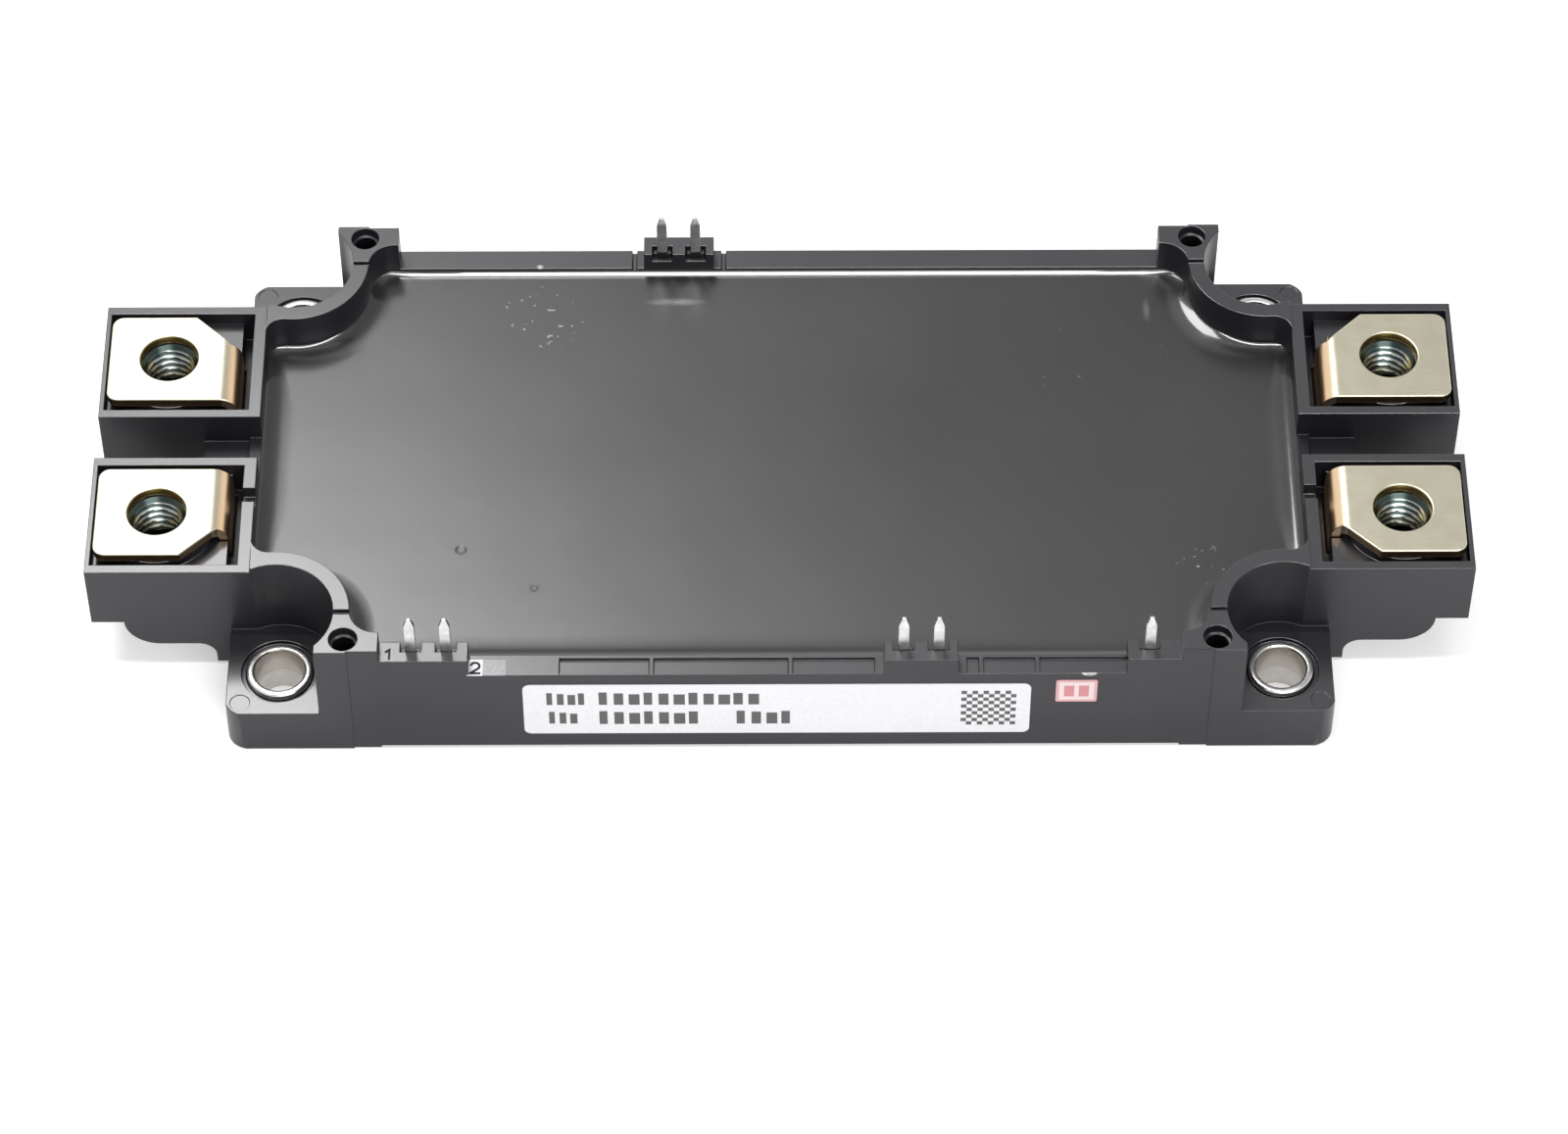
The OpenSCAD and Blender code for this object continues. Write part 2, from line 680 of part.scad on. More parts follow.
module terminal()
    color(nickel) difference() {
        intersection() {
            across(leg_y0, face_y1) strip_outline();
            linear_extrude(term_z + over) blank_outline();
        }
        translate([term.x, term.y, term_under - over]) cylinder(d = term_hole, h = term_t + 2 * over);
    }

module nut() {
    corner = nut_af / 2 / cos(30);
    bevel = (corner - nut_af / 2) / 2;
    color(zinc) translate([term.x, term.y, nut_top - nut_h]) difference() {
        intersection() {
            cylinder(r = corner, h = nut_h, $fn = 6);
            rotate_extrude()
                polygon([[0, 0], [nut_af / 2, 0], [corner, bevel], [corner, nut_h - bevel],
                         [nut_af / 2, nut_h], [0, nut_h]]);
        }
        translate([0, 0, -over]) cylinder(d = nut_bore, h = nut_h + 2 * over);
        for (s = [0, 1]) translate([0, 0, s * nut_h]) mirror([0, 0, s])
            translate([0, 0, -bevel]) cylinder(d1 = nut_bore + 4 * bevel, d2 = nut_bore, h = 2 * bevel);
    }
}

// Blade pin with a tapered tip, a shoulder and a bond pad turned inwards at its foot
module signal_pin(x)
    color(tin) {
        translate([x, 0, 0]) intersection() {
            across(pin_y - pin_t / 2, pin_y + pin_t / 2)
                polygon([[-pin_w / 2, shelf_z], [pin_w / 2, shelf_z],
                         [pin_w / 2, slot_floor], [shoulder_w / 2, slot_floor],
                         [shoulder_w / 2, shoulder_z], [pin_w / 2, shoulder_z],
                         [pin_w / 2, pin_z - pin_taper], [pin_tip_w / 2, pin_z],
                         [-pin_tip_w / 2, pin_z], [-pin_w / 2, pin_z - pin_taper],
                         [-pin_w / 2, shoulder_z], [-shoulder_w / 2, shoulder_z],
                         [-shoulder_w / 2, slot_floor], [-pin_w / 2, slot_floor]]);
            along(-shoulder_w, shoulder_w)
                polygon([[pin_y - pin_t / 2, shelf_z], [pin_y + pin_t / 2, shelf_z],
                         [pin_y + pin_t / 2, pin_z - pin_taper], [pin_y + pin_t / 4, pin_z],
                         [pin_y - pin_t / 4, pin_z], [pin_y - pin_t / 2, pin_z - pin_taper]]);
        }
        box([x - pin_w / 2, cavity_y - pin_t, shelf_z], [x + pin_w / 2, pin_y, shelf_z + pin_t]);
        box([x - shoulder_w / 2, cavity_y - pad_l, shelf_z], [x + shoulder_w / 2, cavity_y, shelf_z + pin_t]);
    }

module pin_number(n)
    if (n <= len(front_pins)) mirror([0, 1, 0]) signal_pin(front_pins[n - 1] * pitch);
    else signal_pin(back_pins[n - 1 - len(front_pins)] * pitch);

// ---- Circuit ----------------------------------------------------------------

module insulation_sheet()
    color("ivory") translate([0, 0, base_t]) linear_extrude(sheet_t) difference() {
        square([2 * (cavity_x - sheet_gap), 2 * sheet_y], center = true);
        all_corners() {
            translate(mount) circle(web_r + sheet_gap);
            translate([cavity_x - end_fillet, back_y1]) square([end_fillet, cavity_y]);
        }
    }

module copper_layer()
    color(copper) translate([0, 0, circuit_z]) linear_extrude(copper_t) children();

module circuit_positive()
    copper_layer()
        polygon([[-island_x, -back_y1], [-web_x, -back_y1], [-web_x, front_y0],
                 [-mid_x, front_y0], [-mid_x, front_y1], [-island_x, front_y1]]);

module circuit_output()
    copper_layer()
        polygon([[-web_x, bar_y0], [mid_x, bar_y0], [mid_x, front_y0], [web_x, front_y0],
                 [web_x, -back_y1], [island_x, -back_y1], [island_x, back_y1],
                 [web_x + island_gap, back_y1], [web_x + island_gap, front_y1],
                 [mid_x + link_w, front_y1], [mid_x + link_w, bar_y1], [-web_x, bar_y1]]);

module circuit_negative()
    copper_layer()
        polygon([[-island_x, bar_y0 + island_gap], [-web_x - island_gap, bar_y0 + island_gap],
                 [-web_x - island_gap, back_y0], [bay_x, back_y0], [bay_x, bar_y0],
                 [web_x, bar_y0], [web_x, back_y1], [-island_x, back_y1]]);

// Gate and sense tracks along the front, and the thermistor pads behind
module gate_tracks()
    copper_layer() {
        inner_x = mid_x + link_w;
        outer_x = web_x - island_gap;
        last_x = front_pins[4] * pitch;
        for (t = [[-outer_x, -inner_x, gate_y0], [inner_x, outer_x, gate_y0], [-outer_x, -inner_x, sense_y0],
                  [inner_x, last_x - pad_w / 2 - island_gap, sense_y0],
                  [last_x - pad_w / 2, last_x + pad_w / 2, sense_y0]])
            translate([t[0], t[2]]) square([t[1] - t[0], track_w]);
        for (p = back_pins)
            translate([p * pitch - pad_w / 2, thermistor_y - thermistor_d])
                square([pad_w, sheet_y - thermistor_y + thermistor_d - copper_rim]);
    }

module thermistor_body()
    color("dimgray")
        translate([(back_pins[0] + back_pins[1]) * pitch / 2, thermistor_y, chip_bed_z + thermistor_h / 2])
            cube([thermistor_l, thermistor_d, thermistor_h], center = true);

function chip_x(i) = (i <= chip_count ? -1 : 1) * (chip_x0 + ((i - 1) % chip_count) * chip_pitch);

module igbt_chip(i)
    color("lightgray") translate([chip_x(i) - igbt_side / 2, igbt_y - igbt_side / 2, chip_bed_z])
        cube([igbt_side, igbt_side, chip_t]);

module diode_chip(i)
    color("silver") translate([chip_x(i) - diode_l / 2, diode_y - diode_d / 2, chip_bed_z])
        cube([diode_l, diode_d, chip_t]);

// Arch of wire from [y0, z0] to [y1, z1] that rises by h, with a flat bond at each end
module bond_arch(x, y0, z0, y1, z1, h, d) {
    chord = norm([y1 - y0, z1 - z0]);
    r = (chord * chord / 4 + h * h) / (2 * h);
    along(x - d / 2, x + d / 2)
        translate([y0, z0 + d / 2]) rotate(atan2(z1 - z0, y1 - y0)) intersection() {
            square([chord, h + d]);
            translate([chord / 2, h - r]) difference() {
                circle(r + d / 2);
                circle(r - d / 2);
            }
        }
    for (p = [[y0, z0], [y1, z1]])
        translate([x - d / 2, p[0] - 1.5 * d, p[1]]) cube([d, 3 * d, d]);
}

// Power wires of the chips from i0 to i1: chip to diode to the output or negative bar
module power_wires(i0, i1)
    color("whitesmoke")
        for (i = [i0:i1], k = [1:wire_count]) {
            x = chip_x(i) + (k - (wire_count + 1) / 2) * wire_pitch;
            bond_arch(x, igbt_y, chip_top_z, diode_y, chip_top_z, wire_rise, wire_d);
            bond_arch(x, diode_y, chip_top_z, bar_y0 + bar_w / 2, chip_bed_z, wire_rise, wire_d);
        }

module gate_wires()
    color("whitesmoke")
        for (i = [1:2 * chip_count]) {
            y = igbt_y - igbt_side / 2 + 2 * copper_rim;
            bond_arch(chip_x(i) - wire_pitch / 2, gate_y0 + track_w / 2, chip_bed_z, y, chip_top_z,
                      gate_rise, gate_wire_d);
        }

module pin_wires()
    color("whitesmoke") {
        y0 = -cavity_y + pad_l - 3 * gate_wire_d;
        for (n = [0:4])
            bond_arch(front_pins[n] * pitch, y0, shelf_z + pin_t,
                      (n % 2 == 0 && n < 4 ? gate_y0 : sense_y0) + track_w / 2, chip_bed_z,
                      pin_wire_rise, gate_wire_d);
        for (p = back_pins)
            mirror([0, 1, 0])
                bond_arch(p * pitch, y0, shelf_z + pin_t,
                          -sheet_y + 2.5 * gate_wire_d + copper_rim, chip_bed_z, pin_wire_rise, gate_wire_d);
        bond_arch(front_pins[4] * pitch + pad_w / 2 - gate_wire_d, sense_y0 + track_w / 2, chip_bed_z,
                  front_y0 + 3 * copper_rim, chip_bed_z, gate_rise, gate_wire_d);
    }

// ---- Potting resin and labels -----------------------------------------------

module embedded_parts() {
    insulation_sheet();
    circuit_positive();
    circuit_output();
    circuit_negative();
    gate_tracks();
    thermistor_body();
    for (i = [1:2 * chip_count]) {
        igbt_chip(i);
        diode_chip(i);
    }
    power_wires(1, 2 * chip_count);
    gate_wires();
    pin_wires();
    all_corners() terminal();
    for (n = [1:7]) pin_number(n);
}

module potting_resin()
    color([0.3, 0.3, 0.32]) difference() {
        translate([0, 0, base_t]) linear_extrude(resin_z - base_t) cavity_outline();
        for (s = [0, 1]) mirror([0, s, 0])
            box([-tower_x0, cavity_y - shelf_d, 0], [tower_x0, cavity_y + over, shelf_z]);
        embedded_parts();
    }

// Thin plate with rounded corners that lies on the drafted front face
module face_plate(x0, z0, l, h, r) {
    y0 = -face_y(z0) + face_step;
    y1 = -face_y(z0 + h) + face_step;
    color("white") intersection() {
        along(x0, x0 + l)
            polygon([[y0 - label_t, z0], [y0, z0], [y1, z0 + h], [y1 - label_t, z0 + h]]);
        across(-body_d, 0) translate([x0 + l / 2, z0 + h / 2]) rounded_rect(l, h, r);
    }
}

module label()
    face_plate(label_x - label_l / 2, label_z - label_h / 2, label_l, label_h, label_r);

module sticker()
    face_plate(label_x + label_l / 2 + sticker_gap, label_z + label_h / 2 + sticker_up - sticker_h,
               sticker_l, sticker_h, label_r / 3);

// ---- Nodes ------------------------------------------------------------------

case_frame();
base_plate();
insulation_sheet();
circuit_positive();
circuit_output();
circuit_negative();
gate_tracks();
thermistor_body();  // thermistor
power_wires(1, chip_count);  // power_wires_upper
power_wires(chip_count + 1, 2 * chip_count);  // power_wires_lower
gate_wires();
pin_wires();
potting_resin();
label();
sticker();
for (i = [1:4]) to_corner(i - 1) terminal();
for (i = [1:4]) to_corner(i - 1) nut();
for (i = [1:4]) to_corner(i - 1) collar();
for (i = [1:7]) pin_number(i);
for (i = [1:6]) igbt_chip(i);
for (i = [1:6]) diode_chip(i);
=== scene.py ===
"""Finishes, fine surfaces, lights and camera for the dual power module."""
import bmesh
import bpy
import json
import math
import numpy as np
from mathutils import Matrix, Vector


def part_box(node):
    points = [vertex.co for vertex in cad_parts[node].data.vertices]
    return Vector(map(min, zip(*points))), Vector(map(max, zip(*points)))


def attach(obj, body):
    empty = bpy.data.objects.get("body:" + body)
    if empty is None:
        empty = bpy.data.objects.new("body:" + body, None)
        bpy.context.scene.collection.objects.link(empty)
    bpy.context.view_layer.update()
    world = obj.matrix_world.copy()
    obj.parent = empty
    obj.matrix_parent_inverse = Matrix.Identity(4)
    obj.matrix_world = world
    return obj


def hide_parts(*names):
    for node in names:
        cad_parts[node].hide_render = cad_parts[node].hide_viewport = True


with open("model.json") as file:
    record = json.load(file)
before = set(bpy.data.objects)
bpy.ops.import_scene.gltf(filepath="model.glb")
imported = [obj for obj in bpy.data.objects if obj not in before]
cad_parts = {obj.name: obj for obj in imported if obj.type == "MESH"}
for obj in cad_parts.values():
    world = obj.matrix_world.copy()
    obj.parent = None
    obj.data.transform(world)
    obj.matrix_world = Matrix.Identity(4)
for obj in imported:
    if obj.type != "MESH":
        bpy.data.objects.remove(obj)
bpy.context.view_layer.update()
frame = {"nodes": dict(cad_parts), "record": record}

MM = 0.001
TURN = 2 * math.pi
nodes = frame["nodes"]
scene = bpy.context.scene


def corners(node):
    """Lowest and highest corner of a CAD node, in millimetres."""
    return [np.array(corner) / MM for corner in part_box(node)]


def axis_of(node):
    """Distances of a node's upright axis from the two middle planes of the module, in millimetres."""
    low, high = corners(node)
    return np.abs(low + high)[:2] / 2


TERMINAL_HOLE = axis_of("nut_1")
MOUNTING_HOLE = axis_of("collar_1")
RESIN_TOP = corners("potting_resin")[1][2]
LEDGE_TOP = 12.8
PEDESTAL_TOP = 15.2
COLLAR_BORE = 2.75


# ---- Finishes -----------------------------------------------------------------

class Signal:
    """A value that varies over a surface: one output of a node, with Python's arithmetic."""

    def __init__(self, graph, socket):
        self.graph, self.socket = graph, socket

    def math(self, operation, *values):
        """Adds a Math node, whose inputs are other signals or plain numbers."""
        return self.graph.node("ShaderNodeMath", {"operation": operation}, dict(enumerate(values)))

    def __add__(self, other): return self.math("ADD", self, other)
    def __radd__(self, other): return self.math("ADD", other, self)
    def __sub__(self, other): return self.math("SUBTRACT", self, other)
    def __rsub__(self, other): return self.math("SUBTRACT", other, self)
    def __mul__(self, other): return self.math("MULTIPLY", self, other)
    def __rmul__(self, other): return self.math("MULTIPLY", other, self)
    def __truediv__(self, other): return self.math("DIVIDE", self, other)
    def __pow__(self, other): return self.math("POWER", self, other)
    def __gt__(self, other): return self.math("GREATER_THAN", self, other)
    def __lt__(self, other): return self.math("LESS_THAN", self, other)
    def size(self): return self.math("ABSOLUTE", self)
    def fraction(self): return self.math("FRACT", self)
    def clipped(self): return self.math("MAXIMUM", self.math("MINIMUM", self, 1.0), 0.0)


class Graph:
    """Makes the nodes of one node tree."""

    def __init__(self, tree):
        self.tree = tree

    def node(self, kind, settings=None, values=None, output=0):
        """Adds a node: its settings first, then the values or links of its sockets."""
        made = self.tree.nodes.new(kind)
        for key, value in (settings or {}).items():
            if key == "stops":
                ramp = made.color_ramp
                while len(ramp.elements) < len(value):
                    ramp.elements.new(1.0)
                for element, (place, color) in zip(ramp.elements, value):
                    element.position, element.color = place, (*color, 1.0)
            else:
                setattr(made, key, value)
        for key, value in (values or {}).items():
            if isinstance(value, Signal):
                self.tree.links.new(value.socket, made.inputs[key])
            else:
                made.inputs[key].default_value = value
        return Signal(self, made.outputs[output])

    def vector(self, operation, first, second):
        """Adds a Vector Math node on two vectors."""
        return self.node("ShaderNodeVectorMath", {"operation": operation}, {0: first, 1: second})

    def place(self):
        """Object coordinates, in millimetres."""
        point = self.node("ShaderNodeTexCoord", output="Object")
        return self.node("ShaderNodeVectorMath", {"operation": "SCALE"}, {0: point, "Scale": 1 / MM})

    def axis(self, point, name):
        """X, Y or Z of a point."""
        return self.node("ShaderNodeSeparateXYZ", None, {0: point}, name)

    def ray(self, kind):
        """1 on rays of one kind: Camera, Glossy or Transmission."""
        return self.node("ShaderNodeLightPath", output=f"Is {kind} Ray")

    def noise(self, point, scale, detail=2.0, stretch=None):
        """Noise between 0 and 1. Scale is features per millimetre, and stretch multiplies it on each axis."""
        if stretch:
            point = self.vector("MULTIPLY", point, stretch)
        return self.node("ShaderNodeTexNoise", None, {"Vector": point, "Scale": scale, "Detail": detail})

    def ramp(self, value, *stops):
        """Colour of a value between stops, each a value and its colour."""
        return self.node("ShaderNodeValToRGB", {"stops": stops}, {"Fac": value}, "Color")

    def blend(self, factor, low, high):
        """Colour low where factor is 0, high where it is 1."""
        low, high = [c if isinstance(c, Signal) else (*c, 1.0) for c in (low, high)]
        return self.node("ShaderNodeMix", {"data_type": "RGBA"}, {0: factor, 6: low, 7: high}, 2)


class Finish(Graph):
    """A material on one Principled shader. Constant values sit on the shader's own sockets."""

    def __init__(self, name, color, **constants):
        self.material = bpy.data.materials.new(name)
        self.material.use_nodes = True
        self.material.diffuse_color = (*color, 1.0)
        super().__init__(self.material.node_tree)
        for key, value in {"base_color": (*color, 1.0), **constants}.items():
            self.socket(key).default_value = value

    def socket(self, key):
        """The shader's socket for a keyword: coat_ior stands for Coat IOR."""
        return self.tree.nodes["Principled BSDF"].inputs[key.replace("_", " ").title().replace("Ior", "IOR")]

    def set(self, **signals):
        """Links signals to the shader's sockets."""
        for key, value in signals.items():
            self.tree.links.new(value.socket, self.socket(key))

    def bump(self, height, depth):
        """Bump from a height between 0 and 1, with its depth in millimetres."""
        values = {"Height": height, "Distance": depth * MM}
        self.set(normal=self.node("ShaderNodeBump", None, values, "Normal"))


def window(value, low, high):
    """1 where value lies between low and high."""
    return (value > low) * (value < high)


def patch(f, p, low, high):
    """1 inside the box between two corners in millimetres."""
    sides = [window(f.axis(p, name), low[i], high[i]) for i, name in enumerate("XYZ")]
    return sides[0] * sides[1] * sides[2]


def spot(f, p, center, radii, soft=1.0):
    """1 at the middle of an ellipsoid, falling to 0 at its surface over the given share of its radius."""
    off = f.vector("DIVIDE", f.vector("SUBTRACT", p, center), radii)
    reach = f.node("ShaderNodeVectorMath", {"operation": "LENGTH"}, {0: off}, "Value")
    return ((1 - reach) / soft).clipped()


def from_axis(f, p, hole):
    """Distance from the upright axis of a hole, and from its mirror images in all four quarters."""
    dx, dy = f.axis(p, "X").size() - hole[0], f.axis(p, "Y").size() - hole[1]
    return (dx * dx + dy * dy) ** 0.5


def case_finish():
    """Black moulded plastic: spark texture, faint flow clouds, level faces with a smoother skin, and a fleck
    of paint on the front ledge and one on the back ledge. A painted highlight lies on the front ledge: pale
    where the numeral two stands and patchy to its right."""
    f = Finish("case_plastic", (0.013, 0.012, 0.016), roughness=0.33, specular_ior_level=0.42,
               coat_roughness=0.2, coat_ior=1.8)
    p = f.place()
    cloud = f.noise(p, 0.09, 3.0)
    grain = f.noise(p, 5.0, 2.0)
    fine = f.noise(p, 14.0, 1.0)
    tone = f.ramp(cloud * 0.7 + grain * 0.3, (0.3, (0.0105, 0.0095, 0.013)), (0.7, (0.016, 0.015, 0.019)))
    # Mottle that breaks up both the paint flecks and the painted highlight to the right of the numeral two.
    fleck_and_glare_mottle = f.noise(p, 2.6, 3.0)
    left, middle, right = -34.0, -32.3, -29.8
    front, back, under, over = -30.55, -28.4, LEDGE_TOP - 0.2, LEDGE_TOP + 0.1
    # Painted highlight: a pale patch on the level front ledge under the numeral two, and a patchy one to its
    # right, standing in for glare.
    pad_highlight = patch(f, p, (left, front, under), (middle, back, over))
    patchy_pad_highlight = patch(f, p, (middle, front, under), (right, back, over)) * (fleck_and_glare_mottle * 0.3 + 0.05)
    tone = f.blend((pad_highlight + patchy_pad_highlight).clipped(), tone, (0.62, 0.62, 0.64))
    head = spot(f, p, (33.5, -30.4, LEDGE_TOP), (0.9, 0.5, 0.4), 0.2)
    tail = spot(f, p, (34.0, -29.9, LEDGE_TOP), (0.5, 0.4, 0.4), 0.2)
    behind = spot(f, p, (-27.4, 28.1, LEDGE_TOP - 0.05), (0.5, 0.4, 0.12), 0.6)
    paint = (head + tail + behind) * fleck_and_glare_mottle * 1.3
    f.set(base_color=f.blend(paint.clipped(), tone, (0.75, 0.74, 0.72)))
    level = f.axis(f.node("ShaderNodeNewGeometry", output="Normal"), "Z")
    open_face = ((f.axis(p, "Y").size() > 20) + (f.axis(p, "Z") > 14)).clipped()
    f.set(coat_weight=((level - 0.85) * 8).clipped() * open_face)
    f.set(roughness=0.28 + cloud * 0.1 + fine * 0.05)
    f.bump(grain * 0.6 + fine * 0.4, 0.012)
    return f.material


def resin_finish():
    """Glossy dark cast resin: slow swells, faint dimples, two clusters of dust and a thin scatter of it,
    two pits, a pale smear in front of the sensor pins and a short streak at the right."""
    f = Finish("cast_resin", (0.014, 0.014, 0.015), roughness=0.25, specular_ior_level=0.9,
               coat_weight=0.5, coat_roughness=0.27)
    p = f.place()
    swell = f.noise(p, 0.035, 2.0)
    dimple = f.noise(p, 0.5, 2.0)
    seed = f.noise(p, 1.7, 0.0)
    top = RESIN_TOP
    cluster = spot(f, p, (-27, 21, top), (6, 5.5, 3)) + spot(f, p, (47, -15, top), (4, 3, 3))
    scatter = spot(f, p, (36, 14, top), (12, 10, 3), 5.0)
    dust = (seed > 0.77) * cluster.clipped() + (seed > 0.84) * scatter
    smear = spot(f, p, (-11.8, 23.4, top), (4.0, 0.7, 2)) * f.noise(p, 0.8, 2.0)
    streak = spot(f, p, (42, 22, top), (0.5, 2.0, 2)) * 0.3
    pits = spot(f, p, (-35.2, -12.6, top), (0.7, 0.7, 2), 0.5)
    pits = pits + spot(f, p, (-27, -18, top), (0.5, 0.5, 2), 0.5)
    tone = f.ramp(swell, (0.3, (0.012, 0.012, 0.013)), (0.7, (0.017, 0.017, 0.018)))
    f.set(base_color=f.blend((dust * 1.5 + smear + streak).clipped(), tone, (0.3, 0.3, 0.3)))
    rim = ((f.axis(p, "Z") - (top + 0.03)) * 12).clipped()
    f.set(roughness=0.23 + swell * 0.04 + dimple * 0.02 - rim * 0.17)
    f.bump(swell * 0.4 + dimple * 0.02 - pits * 0.4, 0.3)
    return f.material


def terminal_finish():
    """Satin nickel over copper: rolled grain along the strip, peach tint in the bend, brown cut edges."""
    f = Finish("terminal_plate", (0.74, 0.69, 0.55), metallic=1.0, roughness=0.3)
    p = f.place()
    grain = f.noise(p, 1.0, 3.0, stretch=(0.25, 4.0, 4.0))
    cloud = f.noise(p, 0.35, 2.0)
    x, z = f.axis(p, "X").size(), f.axis(p, "Z")
    tone = f.ramp(cloud * 0.6 + grain * 0.4, (0.3, (0.68, 0.635, 0.48)), (0.7, (0.78, 0.735, 0.58)))
    bend = ((62.2 - x) / 0.9).clipped()
    cut_edge = window(z, 14.0, 16.75) * (x > 62.3)
    hole_wall = (from_axis(f, p, TERMINAL_HOLE) < 3.3) * (z < 16.9)
    tone = f.blend(bend * 0.85, tone, (0.92, 0.62, 0.36))
    tone = f.blend(cut_edge * 0.85, tone, (0.34, 0.19, 0.07))
    f.set(base_color=f.blend(hole_wall, tone, (0.5, 0.34, 0.11)))
    f.set(roughness=0.29 + grain * 0.05)
    f.bump(grain, 0.002)
    return f.material


def nut_finish():
    """Zinc plate with a green cast. The thread's roots are painted near black as painted shade, so its crests
    look bright.
    """
    f = Finish("nut_zinc", (0.66, 0.73, 0.71), metallic=1.0, roughness=0.22)
    p = f.place()
    cloud = f.noise(p, 0.8, 2.0)
    tone = f.ramp(cloud, (0.3, (0.58, 0.65, 0.63)), (0.7, (0.75, 0.8, 0.78)))
    radius = from_axis(f, p, TERMINAL_HOLE)
    # Painted shade: the thread is painted near black towards its roots.
    root = ((radius - 2.62) / 0.16).clipped() * (radius < 3.2)
    f.set(base_color=f.blend(root, tone, (0.05, 0.07, 0.065)))
    f.set(roughness=0.2 + cloud * 0.1)
    return f.material


def collar_finish():
    """Turned steel with fine turning marks: bright face, and a bore painted darker and warmer as painted
    shade.
    """
    f = Finish("collar_steel", (0.8, 0.79, 0.77), metallic=1.0, roughness=0.25)
    p = f.place()
    rings = f.noise(p, 2.0, 2.0, stretch=(0.3, 0.3, 5.0))
    tone = f.ramp(rings, (0.3, (0.72, 0.71, 0.69)), (0.7, (0.86, 0.85, 0.83)))
    # Painted shade: the bore is painted a darker, warmer grey than the face.
    bore = from_axis(f, p, MOUNTING_HOLE) < COLLAR_BORE + 0.15
    f.set(base_color=f.blend(bore, tone, (0.46, 0.43, 0.39)))
    f.set(roughness=0.24 + rings * 0.05)
    f.bump(rings, 0.0008)
    return f.material


def label_finish():
    """Off-white paper with generic print: two lines of short dark bars, whose height and width change from
    bar to bar, and a chequered square."""
    f = Finish("label_print", (0.82, 0.82, 0.83), roughness=0.45)
    p = f.place()
    x, z = f.axis(p, "X"), f.axis(p, "Z")
    fibre = f.noise(p, 3.0, 3.0)
    runs = ((7.7, 9.8, -25.5, -21.2, 1.15), (7.7, 9.9, -19.8, -2.0, 1.63),
            (4.4, 6.5, -25.3, -22.2, 1.15), (4.3, 6.6, -19.8, -8.5, 1.63), (4.3, 6.6, -4.8, 1.5, 1.63))
    ink = 0.0
    for low, high, left, right, pitch in runs:
        count = (x - left) / pitch
        along = count.fraction()
        odd = ((count - along) * 0.37).fraction()
        run = window(z, low, high - odd * 0.45) * window(x, left, right)
        ink = ink + run * (along < 0.55 + odd * 0.25)
    left, bottom, size, pitch = 19.7, 4.0, 6.0, 1.2
    across, up = ((x - left) / pitch).fraction() > 0.5, ((z - bottom) / pitch).fraction() > 0.5
    square = window(x, left, left + size) * window(z, bottom, bottom + size)
    ink = ink + square * (across + up - across * up * 2)
    tone = f.ramp(fibre, (0.3, (0.78, 0.78, 0.8)), (0.7, (0.84, 0.84, 0.85)))
    f.set(base_color=f.blend(ink.clipped() * 0.94, tone, (0.03, 0.03, 0.03)))
    f.set(roughness=0.4 + fibre * 0.1)
    f.bump(fibre, 0.004)
    return f.material


def sticker_finish():
    """Pale pink sticker with a red border and two red bars."""
    f = Finish("sticker_print", (0.82, 0.7, 0.7), roughness=0.45)
    p = f.place()
    x, z = f.axis(p, "X"), f.axis(p, "Z")
    low, high = corners("sticker")
    fibre = f.noise(p, 3.0, 3.0)
    border, margin, bar_start, bar_end = 0.35, 0.9, 0.25, 1.35
    inside = window(x, low[0] + border, high[0] - border) * window(z, low[2] + border, high[2] - border)
    aside = (x - (low[0] + high[0]) / 2).size()
    bars = window(z, low[2] + margin, high[2] - margin) * window(aside, bar_start, bar_end)
    ink = ((1 - inside) * 0.45 + bars * 0.7).clipped() * (0.75 + fibre * 0.4).clipped()
    tone = f.ramp(fibre, (0.3, (0.76, 0.62, 0.62)), (0.7, (0.84, 0.7, 0.7)))
    f.set(base_color=f.blend(ink, tone, (0.55, 0.03, 0.05)))
    f.set(roughness=0.4 + fibre * 0.1)
    return f.material


def pin_finish():
    """Tinned blade, painted dark as painted shade where it stands down in its slot."""
    f = Finish("pin_tin", (0.6, 0.6, 0.59), metallic=1.0, roughness=0.3)
    p = f.place()
    cloud = f.noise(p, 1.2, 3.0)
    tone = f.ramp(cloud, (0.3, (0.47, 0.47, 0.47)), (0.7, (0.66, 0.66, 0.65)))
    # Painted shade: the blade is painted near black below the pedestal top, inside its slot.
    shade_in_slot = f.axis(p, "Z") < PEDESTAL_TOP - 0.3
    f.set(base_color=f.blend(shade_in_slot, tone, (0.06, 0.06, 0.06)))
    f.set(roughness=0.22 + cloud * 0.15)
    f.bump(cloud, 0.003)
    return f.material


def metal_finish(name, low, high, roughness, grain_scale=2.0):
    """Plated metal: two near tones in fine grain, with the roughness and height of the same grain."""
    f = Finish(name, high, metallic=1.0, roughness=roughness)
    p = f.place()
    grain = f.noise(p, grain_scale, 3.0)
    cloud = f.noise(p, 0.4, 2.0)
    f.set(base_color=f.ramp(grain * 0.5 + cloud * 0.5, (0.3, low), (0.7, high)))
    f.set(roughness=roughness - 0.05 + grain * 0.12)
    f.bump(grain, 0.01)
    return f.material


def plain_finish(name, low, high, roughness, **constants):
    """Moulded, sintered or printed surface: two near tones in fine mottling."""
    f = Finish(name, high, roughness=roughness, **constants)
    p = f.place()
    mottle = f.noise(p, 2.0, 3.0)
    f.set(base_color=f.ramp(mottle, (0.3, low), (0.7, high)))
    f.set(roughness=roughness - 0.05 + mottle * 0.1)
    f.bump(mottle, 0.01)
    return f.material


